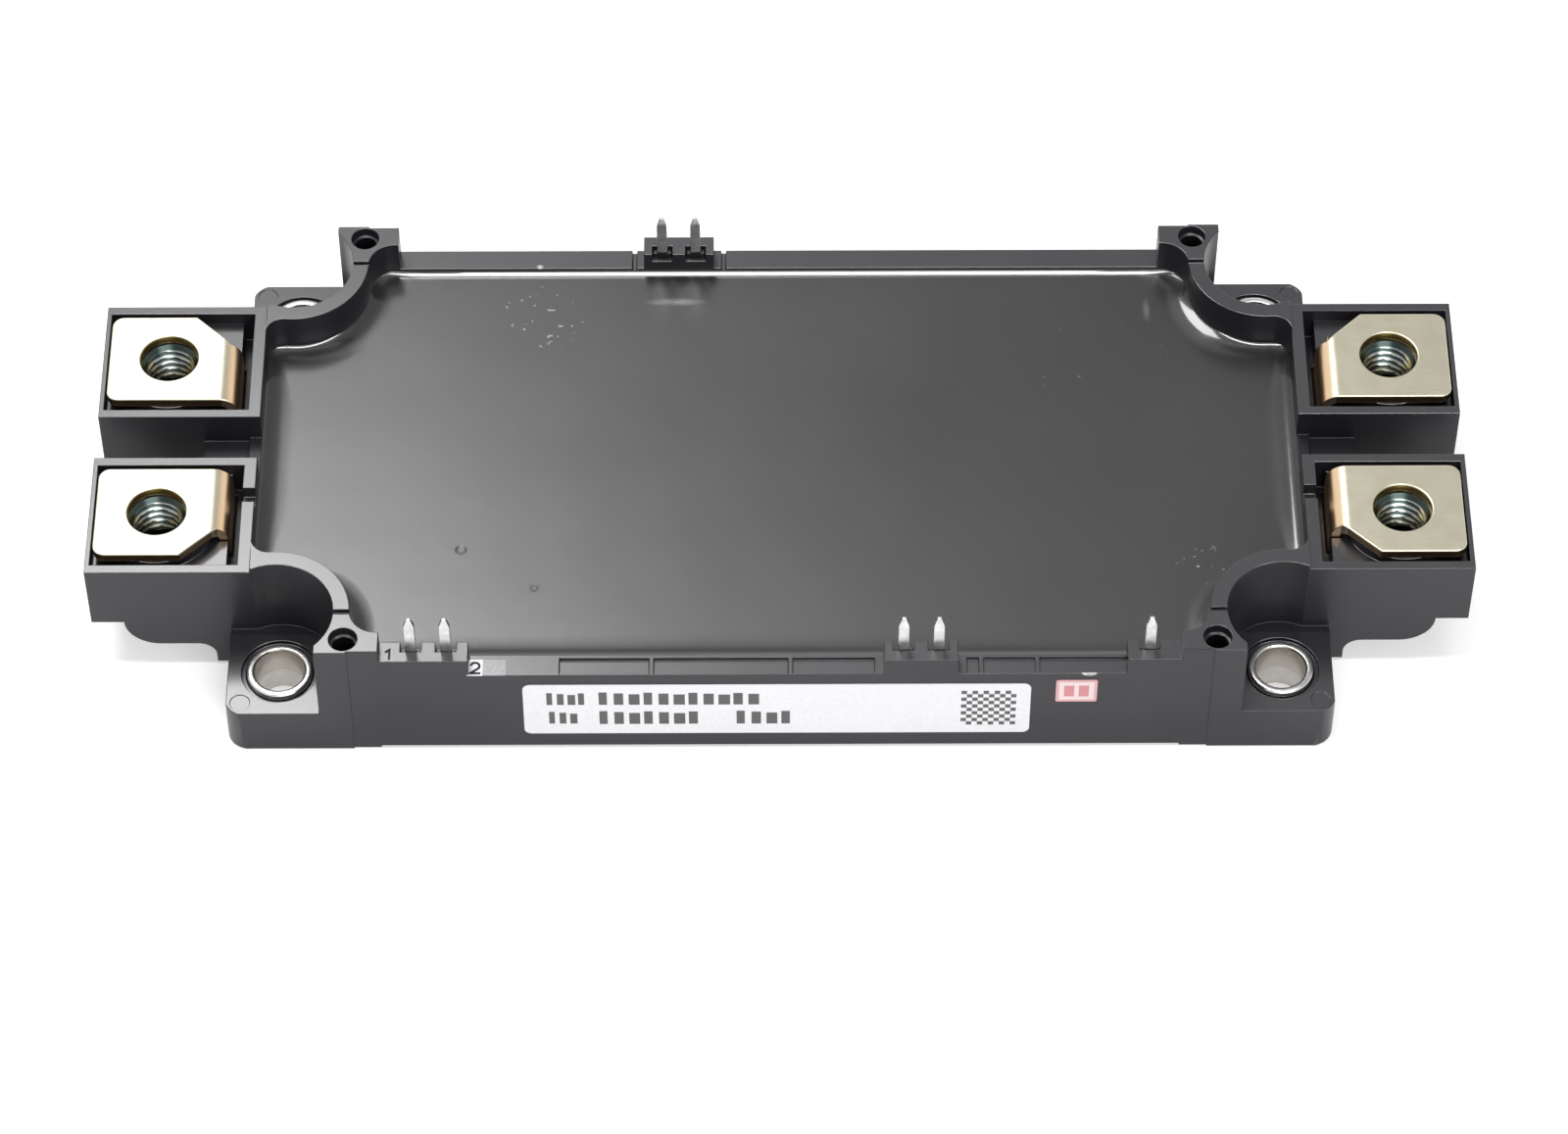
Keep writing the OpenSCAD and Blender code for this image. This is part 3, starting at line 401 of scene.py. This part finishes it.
FINISHES = {
    "case_plastic": case_finish(),
    "potting_resin": resin_finish(),
    "terminal_plate": terminal_finish(),
    "nut_zinc": nut_finish(),
    "collar_steel": collar_finish(),
    "pin_tin": pin_finish(),
    "base_nickel": metal_finish("base_nickel", (0.5, 0.48, 0.45), (0.62, 0.6, 0.57), 0.35, 1.0),
    "circuit_copper": metal_finish("circuit_copper", (0.6, 0.3, 0.18), (0.76, 0.42, 0.28), 0.35),
    "bond_aluminium": metal_finish("bond_aluminium", (0.75, 0.76, 0.77), (0.9, 0.9, 0.9), 0.3),
    "ceramic": plain_finish("ceramic", (0.75, 0.74, 0.7), (0.84, 0.83, 0.8), 0.5),
    "silicon": plain_finish("silicon", (0.1, 0.1, 0.11), (0.16, 0.16, 0.18), 0.2, metallic=0.6),
    "thermistor_black": plain_finish("thermistor_black", (0.01, 0.01, 0.01), (0.02, 0.02, 0.02), 0.25),
    "label_white": label_finish(),
}
NUMERAL_MATT = plain_finish("numeral_matt", (0.008, 0.008, 0.009), (0.015, 0.015, 0.017), 0.8)
SLOTS = {part["node"]: part["material_slot"] for part in frame["record"]["subparts"]}
for name, node in nodes.items():
    node.data.materials.clear()
    node.data.materials.append(sticker_finish() if name == "sticker" else FINISHES[SLOTS[name]])


# ---- Meshes -------------------------------------------------------------------

def add_piece(name, mesh, slot, replaced=(), sharp=math.radians(35), finish=None):
    """Puts a mesh in the scene as a piece that rides on the module."""
    mesh.materials.append(finish or FINISHES[slot])
    mesh.shade_smooth()
    mesh.set_sharp_from_angle(angle=sharp)
    piece = bpy.data.objects.new(name, mesh)
    scene.collection.objects.link(piece)
    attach(piece, "root")
    if replaced:
        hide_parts(*replaced)
    return piece


def mesh_from(name, points, faces):
    """Mesh from points in millimetres, where points at one place become one. Its faces are turned outwards
    if its signed volume, the sum over triangles of corner dot (corner cross corner) / 6, is negative."""
    mesh = bpy.data.meshes.new(name)
    mesh.from_pydata((np.asarray(points) * MM).tolist(), [], [list(map(int, face)) for face in faces])
    mesh.validate()
    shape = bmesh.new()
    shape.from_mesh(mesh)
    bmesh.ops.remove_doubles(shape, verts=shape.verts, dist=1e-4 * MM)
    if shape.calc_volume(signed=True) < 0:
        bmesh.ops.reverse_faces(shape, faces=shape.faces)
    shape.to_mesh(mesh)
    shape.free()
    return mesh


def grid(rows, columns, closed=False):
    """Faces between rows of points. Each row closes on itself, and if closed the last row joins the first."""
    i, j = np.meshgrid(np.arange(rows if closed else rows - 1), np.arange(columns), indexing="ij")
    a, b = (i + 1) % rows, (j + 1) % columns
    return np.stack([i * columns + j, i * columns + b, a * columns + b, a * columns + j], -1).reshape(-1, 4)


def rounded_corner(center, radius, start, end, steps=5):
    """Arc of points: center plus radius times (cos, sin) of angles from start to end, in degrees."""
    a = np.radians(np.linspace(start, end, steps))
    return np.stack([center[0] + radius * np.cos(a), center[1] + radius * np.sin(a)], -1)


def ring_profile(profile, turns=96):
    """Ring turned from a closed profile: x = r cos t, y = r sin t, z from the profile, for t in one turn."""
    r, z = np.asarray(profile, float).T
    t = np.linspace(0, TURN, turns, endpoint=False)[:, None]
    points = np.stack([r * np.cos(t), r * np.sin(t), z + 0 * t], -1)
    return points.reshape(-1, 3), grid(turns, len(r), closed=True)


def ribbon(points, width, low, high):
    """Rectangular profile carried along an open path: at each point the two side offsets lie along the
    normal of the mean direction of the path there, divided by the cosine of half the turn."""
    points = np.asarray(points, float)
    way = np.diff(points, axis=0)
    way /= np.linalg.norm(way, axis=1)[:, None]
    mean = np.concatenate([way[:1], way[1:] + way[:-1], way[-1:]])
    mean /= np.linalg.norm(mean, axis=1)[:, None]
    turn = np.concatenate([way[:1], way[1:], way[-1:]])
    side = np.stack([-mean[:, 1], mean[:, 0]], -1) / np.sum(mean * turn, axis=1)[:, None] * width / 2
    left, right = points + side, points - side
    count = len(points)
    profile = np.stack([np.column_stack([line, np.full(count, level)])
                        for line, level in ((right, low), (left, low), (left, high), (right, high))], 1)
    ends = [[3, 2, 1, 0], [(count - 1) * 4 + j for j in range(4)]]
    return profile.reshape(-1, 3), grid(count, 4).tolist() + ends


# ---- Rounded copies of CAD nodes ----------------------------------------------

def read(items, name, width=1, kind=float):
    """One property of all items of a mesh as an array."""
    values = np.empty(len(items) * width, kind)
    items.foreach_get(name, values)
    return values.reshape(-1, width) if width > 1 else values


def set_rounding(mesh, width):
    """Gives each edge its share of the full rounding: none where its faces meet at under 35 degrees, and
    never more than 0.4 of the narrower face, whose width is its area over the edge's length. An edge that
    isn't rounded is sharp if it bends by over 12 degrees or if both its faces are large. Only faces that bend
    gently into a neighbour are shaded smooth. The angle is 2 acos(half the length of the summed normals)."""
    edge = read(mesh.loops, "edge_index", kind=np.int32)
    face = np.repeat(np.arange(len(mesh.polygons)), read(mesh.polygons, "loop_total", kind=np.int32))
    area, normal = read(mesh.polygons, "area"), read(mesh.polygons, "normal", 3)
    ends = read(mesh.vertices, "co", 3)[read(mesh.edges, "vertices", 2, np.int32)]
    length = np.linalg.norm(ends[:, 0] - ends[:, 1], axis=1)
    small, joined = np.full(len(length), np.inf), np.zeros((len(length), 3))
    np.minimum.at(small, edge, area[face])
    np.add.at(joined, edge, normal[face])
    bend = np.degrees(2 * np.arccos(np.clip(np.linalg.norm(joined, axis=1) / 2, 0, 1)))
    share = np.clip(0.4 * small / length / (width * MM), 0, 1) * (bend > 35)
    weights = mesh.attributes.new("bevel_weight_edge", "FLOAT", "EDGE")
    weights.data.foreach_set("value", share.astype(np.float32))
    large = 15 * MM * MM
    mesh.edges.foreach_set("use_edge_sharp", (share == 0) & ((bend > 12) | (small > large)))
    curved = np.zeros(len(area), bool)
    np.logical_or.at(curved, face, ((bend > 1) & (bend < 12))[edge])
    mesh.polygons.foreach_set("use_smooth", curved)


def softened(node, width, segments=2, weld=0.001):
    """Copy of a CAD node with its edges rounded to the given width in millimetres."""
    shape = bmesh.new()
    shape.from_mesh(nodes[node].data)
    bmesh.ops.remove_doubles(shape, verts=shape.verts, dist=0.001 * MM)
    bmesh.ops.dissolve_limit(shape, angle_limit=math.radians(0.5), verts=shape.verts, edges=shape.edges)
    bmesh.ops.remove_doubles(shape, verts=shape.verts, dist=weld * MM)
    mesh = bpy.data.meshes.new(node + "_soft")
    shape.to_mesh(mesh)
    shape.free()
    piece = add_piece(node + "_soft", mesh, SLOTS[node], [node], math.pi)
    set_rounding(mesh, width)
    bevel = piece.modifiers.new("rounded_edges", "BEVEL")
    bevel.width = width * MM
    bevel.segments = segments
    bevel.limit_method = "WEIGHT"
    bevel.use_clamp_overlap = False
    level = piece.modifiers.new("level_faces", "WEIGHTED_NORMAL")
    level.weight = 90
    level.keep_sharp = True


# ---- Collars and nuts ---------------------------------------------------------

def collar(node):
    """Turned collar: round wall with a rolled outer lip and a chamfered bore."""
    low, high = corners(node)
    middle, outer = (low + high) / 2, (high[0] - low[0]) / 2
    bore, lip = COLLAR_BORE, 0.3
    profile = np.concatenate([
        [[bore, low[2]], [outer, low[2]]],
        rounded_corner((outer - lip, high[2] - lip), lip, 0, 90),
        rounded_corner((bore + lip, high[2] - lip), lip, 90, 180)])
    points, faces = ring_profile(profile)
    mesh = mesh_from(node + "_turned", points + [middle[0], middle[1], 0], faces)
    add_piece(node + "_turned", mesh, "collar_steel", [node])


def threaded_nut(node):
    """Hexagon nut with a real thread. The outside radius at turn t is flat / cos(t folded into one flat),
    cut by a cone at both ends. The bore's radius is the crest plus depth times a triangle wave of
    (height / pitch - t / turn), and never less than the lead-in cone."""
    low, high = corners(node)
    middle, height = (low + high) / 2, high[2] - low[2]
    flat, crest, depth, pitch = 5.0, 2.5, 0.55, 1.0
    chamfer, cone_start, cone_slope, lead_in = 0.4, 0.05, 1.75, 0.15
    t = np.linspace(0, TURN, 96, endpoint=False)[:, None]
    z_in = np.linspace(0, height, 61)
    wave = (z_in / pitch - t / TURN) % 1
    thread = crest + depth * (1 - np.abs(2 * wave - 1))
    bore = np.maximum(thread, crest + depth + lead_in - np.minimum(z_in, height - z_in))
    z_out = np.array([height, height - chamfer / 2, chamfer / 2, 0.0])
    folded = (t + TURN / 12) % (TURN / 6) - TURN / 12
    hexagon = flat / np.cos(folded + 0 * z_out)
    cone = flat + cone_slope * np.minimum(z_out, height - z_out) + cone_start
    radius = np.concatenate([bore, np.minimum(hexagon, cone)], axis=1)
    level = np.concatenate([z_in, z_out]) + 0 * t
    points = np.stack([middle[0] + radius * np.cos(t), middle[1] + radius * np.sin(t), low[2] + level], -1)
    mesh = mesh_from(node + "_threaded", points.reshape(-1, 3), grid(*radius.shape, closed=True))
    add_piece(node + "_threaded", mesh, "nut_zinc", [node], math.radians(25))


# ---- Resin --------------------------------------------------------------------

def cavity_edge(step=0.4):
    """Closed outline of the resin and how far a rim may reach in from each of its points. One quarter runs
    along the long wall, round the fillet into the web, back round the web about the mounting hole, round
    the fillet into the end wall and down it. The fillet centres lie where a circle touches both the wall
    and the web: their distance from the mounting hole is the sum of the two radii. The other quarters are
    its mirror images. The rim's reach is evened out over the nearest points."""
    length, depth, _ = corners("potting_resin")[1]
    hole, web, side, end = MOUNTING_HOLE, 8.3, 3.0, 2.0
    wall_rim, side_rim, end_rim = 3.2, 2.4, 1.6
    side_y, end_x = depth - side, length - end
    side_c = np.array([hole[0] - math.sqrt((web + side) ** 2 - (side_y - hole[1]) ** 2), side_y])
    end_c = np.array([end_x, hole[1] - math.sqrt((web + end) ** 2 - (end_x - hole[0]) ** 2)])

    def bearing(a, b):
        return math.degrees(math.atan2(b[1] - a[1], b[0] - a[0]))

    def arc(center, radius, start, finish):
        count = max(6, int(abs(math.radians(finish - start)) * radius / step))
        return rounded_corner(center, radius, start, finish, count)[1:]

    along = np.arange(0, side_c[0], step)
    down = np.arange(end_c[1], 0, -step)[1:]
    parts = [(np.stack([along, 0 * along + depth], -1), wall_rim),
             (arc(side_c, side, 90, bearing(side_c, hole)), side_rim),
             (arc(hole, web, bearing(hole, side_c) % 360, bearing(hole, end_c) % 360), wall_rim),
             (arc(end_c, end, bearing(end_c, hole), 0), end_rim),
             (np.stack([0 * down + length, down], -1), wall_rim)]
    edge = np.concatenate([line for line, _ in parts])
    room = np.concatenate([np.full(len(line), rim) for line, rim in parts])
    for mirror in ([1, -1], [-1, 1]):
        edge = np.concatenate([edge, edge[::-1] * mirror])
        room = np.concatenate([room, room[::-1]])
    kept = np.linalg.norm(edge - np.roll(edge, 1, axis=0), axis=1) > 1e-3
    edge, room = edge[kept], room[kept]
    near = range(-9, 10)
    least = np.min([np.roll(room, k) for k in near], axis=0)
    return edge, np.mean([np.roll(least, k) for k in near], axis=0)


def drawn_in(ring, share, half_line=40):
    """Ring whose points keep a share of their way from the middle line, half_line long each way along x."""
    line = np.stack([np.clip(ring[:, 0], -half_line, half_line), 0 * ring[:, 1], ring[:, 2]], -1)
    return line + share * (ring - line)


def resin():
    """Cast resin that creeps up its walls. Rings of the outline are stepped in along its normals. At distance
    d from the wall the surface stands at level + rise * (exp(-d / reach) - exp(-room / reach)), so that it
    meets the flat middle where the rim has used up its room, and reach grows towards the ends. Along the back
    wall it is steep at the wall, then an even slope of 23 degrees half a millimetre wide, then flat. The flat
    middle and the underside are rings too, drawn in until they meet on the middle line."""
    low, high = corners("potting_resin")
    edge, room = cavity_edge()
    out = np.abs(edge[:, 0])
    along = np.roll(edge, -1, axis=0) - np.roll(edge, 1, axis=0)
    along /= np.linalg.norm(along, axis=1)[:, None]
    inward = np.stack([along[:, 1], -along[:, 0]], -1)
    rise, reach = 0.5, 0.6 + 0.35 * np.clip((out - 40) / 6, 0, 1)
    steps = np.array([0, 0.06, 0.09, 0.18, 0.31, 0.44, 0.53, 0.6, 0.7, 0.85, 1.1, 1.5, 2.1, 2.7, 3.2])
    depth = np.concatenate([(steps / steps[-1])[:, None] * room, room[None] + 0.12])
    creep = rise * np.clip(np.exp(-depth / reach) - np.exp(-room / reach), 0, None)
    slope = np.interp(depth, [0, 0.06, 0.56, 0.66, 0.8], [0.495, 0.245, 0.03, 0.01, 0.0])
    along_back = np.clip((45.5 - out) / 4, 0, 1) * (edge[:, 1] > 0)
    level = high[2] + (1 - along_back) * creep + along_back * slope
    rings = np.concatenate([edge + inward * depth[:, :, None], level[:, :, None]], -1)
    foot = np.column_stack([edge, 0 * room + low[2]])
    middle = [drawn_in(rings[-1], share) for share in (0.6, 0.25, 0)]
    levels = [drawn_in(foot, 0), foot, *rings, *middle]
    mesh = mesh_from("resin_cast", np.concatenate(levels), grid(len(levels), len(edge)))
    add_piece("resin_cast", mesh, "potting_resin", ["potting_resin"], math.radians(50))


# ---- Numerals -----------------------------------------------------------------

def numeral(name, strokes, place, size):
    """Raised numeral on a level face: its strokes are ribbons in a cell one unit wide."""
    stroke, sunk, proud = 0.24, 0.05, 0.06
    points = np.asarray(strokes) * size + np.asarray(place[:2])
    mesh = mesh_from(name, *ribbon(points, stroke, place[2] - sunk, place[2] + proud))
    add_piece(name, mesh, "case_plastic", (), math.radians(20), NUMERAL_MATT)


ONE = [(0.0, 0.75), (0.35, 1.0), (0.35, 0.0)]
TWO = [*rounded_corner((0.42, 0.68), 0.34, 170, -35, 9), (0.05, 0.0), (0.85, 0.0)]

resin()
numeral("numeral_one", ONE, (-42.75, -30.15, PEDESTAL_TOP), 1.3)
numeral("numeral_two", TWO, (-33.7, -30.25, LEDGE_TOP), 1.4)
softened("case_frame", 0.08)
for i in range(1, 5):
    softened(f"terminal_{i}", 0.16, 3, 0.09)
    threaded_nut(f"nut_{i}")
    collar(f"collar_{i}")
for i in range(1, 8):
    softened(f"signal_pin_{i}", 0.08)


# ---- Stage --------------------------------------------------------------------

def add_stage():
    """White floor that keeps the shadow, with an even white surround."""
    floor = bpy.data.meshes.new("floor")
    s = 3.0
    floor.from_pydata([(-s, -s, 0), (s, -s, 0), (s, s, 0), (-s, s, 0)], [], [(0, 1, 2, 3)])
    piece = bpy.data.objects.new("floor", floor)
    scene.collection.objects.link(piece)
    f = Finish("floor_white", (0.9, 0.9, 0.9), roughness=0.9, specular_ior_level=0.1, emission_strength=0.35)
    seen = (f.ray("Camera") + f.ray("Glossy") + f.ray("Transmission")).clipped()
    f.set(emission_color=f.blend(seen, (0, 0, 0), (1, 1, 1)))
    floor.materials.append(f.material)


def add_world():
    """Pale room with white walls and a dimmer ceiling. The camera sees plain white."""
    world = bpy.data.worlds.new("studio")
    world.use_nodes = True
    scene.world = world
    g = Graph(world.node_tree)
    upward = g.axis(g.node("ShaderNodeTexCoord", output="Generated"), "Z")
    wall = ((0.62 - upward) * 5.0).clipped()
    mirrored = (g.ray("Glossy") + g.ray("Transmission")).clipped()
    shown = (g.ray("Camera") + mirrored * wall).clipped()
    color = g.blend(shown, (0.42, 0.42, 0.43), (1, 1, 1))
    g.tree.links.new(color.socket, g.tree.nodes["Background"].inputs["Color"])


def add_lamp(name, place, size, power):
    """White lamp at a place in metres, with a width and height in metres, that faces the module."""
    lamp = bpy.data.lights.new(name, "AREA")
    lamp.shape = "RECTANGLE"
    lamp.size, lamp.size_y = size
    lamp.energy = power
    holder = bpy.data.objects.new(name, lamp)
    holder.location = place
    holder.rotation_euler = (-Vector(place)).to_track_quat("-Z", "Y").to_euler()
    holder.visible_camera = False
    scene.collection.objects.link(holder)


def add_camera(elevation, turn, distance, focal, target):
    """Camera on a sphere about the target: place = target + distance * (sin turn cos elevation,
    -cos turn cos elevation, sin elevation)."""
    e, t = math.radians(elevation), math.radians(turn)
    target = Vector(target) * MM
    away = Vector((math.sin(t) * math.cos(e), -math.cos(t) * math.cos(e), math.sin(e)))
    place = target + distance * MM * away
    data = bpy.data.cameras.new("camera")
    data.sensor_width = 36.0
    data.lens = focal
    holder = bpy.data.objects.new("camera", data)
    holder.location = place
    holder.rotation_euler = (target - place).to_track_quat("-Z", "Y").to_euler()
    scene.collection.objects.link(holder)
    scene.camera = holder


add_stage()
add_world()
add_lamp("left_window", (-0.20, 0.305, 0.70), (0.36, 0.30), 3.0)
add_lamp("overhead_strip", (0.0, -0.06, 0.90), (0.9, 0.07), 3.0)
add_lamp("front_panel", (0.25, -0.8, 0.55), (0.7, 0.5), 4.4)
add_camera(52.0, -0.22, 615, 127.1, (0.46, -12, 8))
scene.view_settings.view_transform = "Standard"
